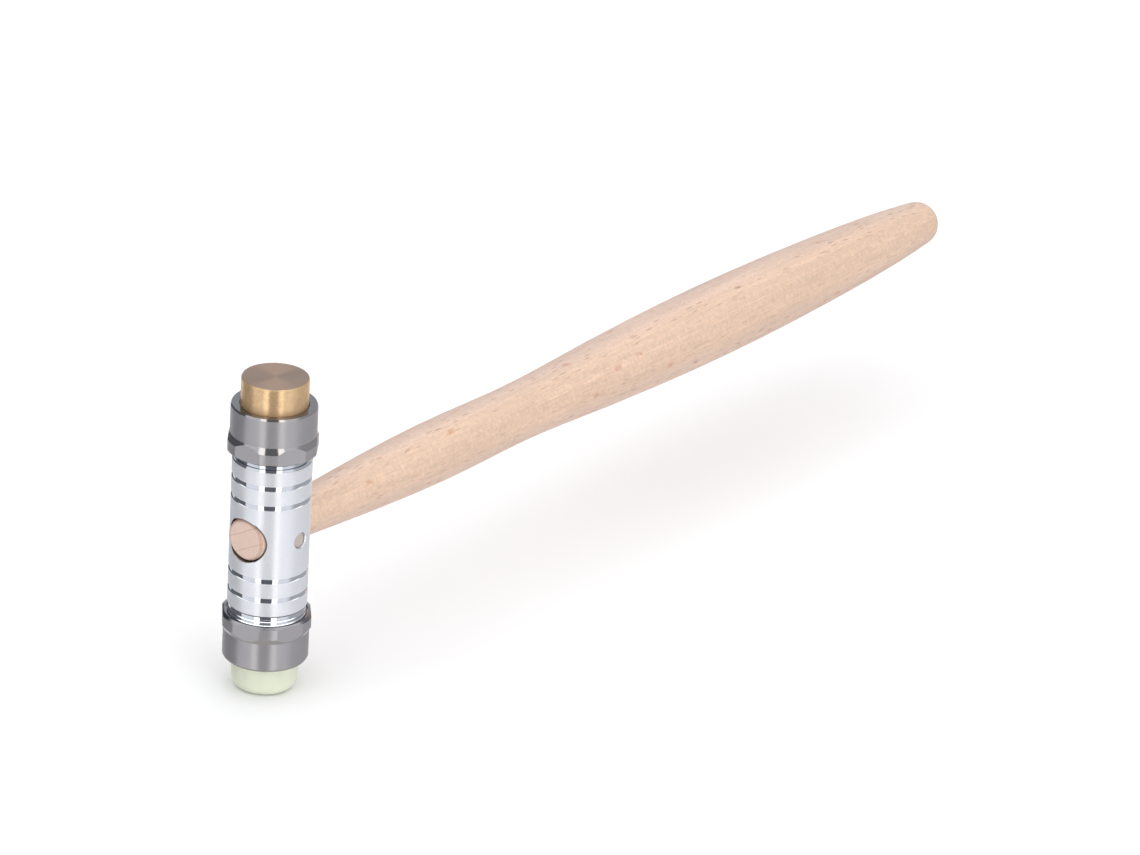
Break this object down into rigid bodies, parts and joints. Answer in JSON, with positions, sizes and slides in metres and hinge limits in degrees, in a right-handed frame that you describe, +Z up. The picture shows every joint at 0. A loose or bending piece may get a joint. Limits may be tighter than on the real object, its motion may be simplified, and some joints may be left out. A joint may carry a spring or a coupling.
{
  "type": "double-faced hammer",
  "caption": "Small double-faced bench hammer for light carving and fitting work: steel head, screw-on brass and nylon tips, turned wooden handle.",
  "frame": {"origin": "centre of the nylon striking face, the lower end of the head", "axes": "+Z up along the head towards the brass face, +X along the handle towards its butt, +Y completes the right-handed frame"},
  "size_m": [0.296, 0.0232, 0.0844],
  "materials": {
    "head_chrome": "satin chrome lands with polished grooves",
    "nut_steel": "fine turned, dull grey",
    "tip_brass": "turned, lightly tarnished",
    "tip_nylon": "satin, slightly translucent",
    "handle_wood": "sanded, thin clear oil",
    "pin_steel": "ground ends"
  },
  "bodies": {
    "head": {"head_body": "head_chrome", "handle": "handle_wood", "cross_pin": "pin_steel"},
    "brass_end": {"brass_tip": "tip_brass"},
    "upper_nut": {"upper_collar_nut": "nut_steel"},
    "nylon_end": {"nylon_tip": "tip_nylon"},
    "lower_nut": {"lower_collar_nut": "nut_steel"}
  },
  "joints": [
    {"name": "brass_tip_travel", "type": "slide", "parent": "head", "child": "brass_end", "axis": [0, 0, 1], "range_m": [0, 0.006]},
    {"name": "upper_nut_turn", "type": "hinge", "parent": "brass_end", "child": "upper_nut", "pos_m": [0, 0, 0.0714], "axis": [0, 0, 1], "range_deg": [0, 2160.1]},
    {"name": "nylon_tip_travel", "type": "slide", "parent": "head", "child": "nylon_end", "axis": [0, 0, -1], "range_m": [0, 0.006]},
    {"name": "lower_nut_turn", "type": "hinge", "parent": "nylon_end", "child": "lower_nut", "pos_m": [0, 0, 0.0148], "axis": [0, 0, -1], "range_deg": [0, 2160.1]}
  ],
  "couplings": [
    {"joint": "upper_nut_turn", "follows": "brass_tip_travel", "rad_per_m": 6283.2},
    {"joint": "lower_nut_turn", "follows": "nylon_tip_travel", "rad_per_m": 6283.2}
  ]
}
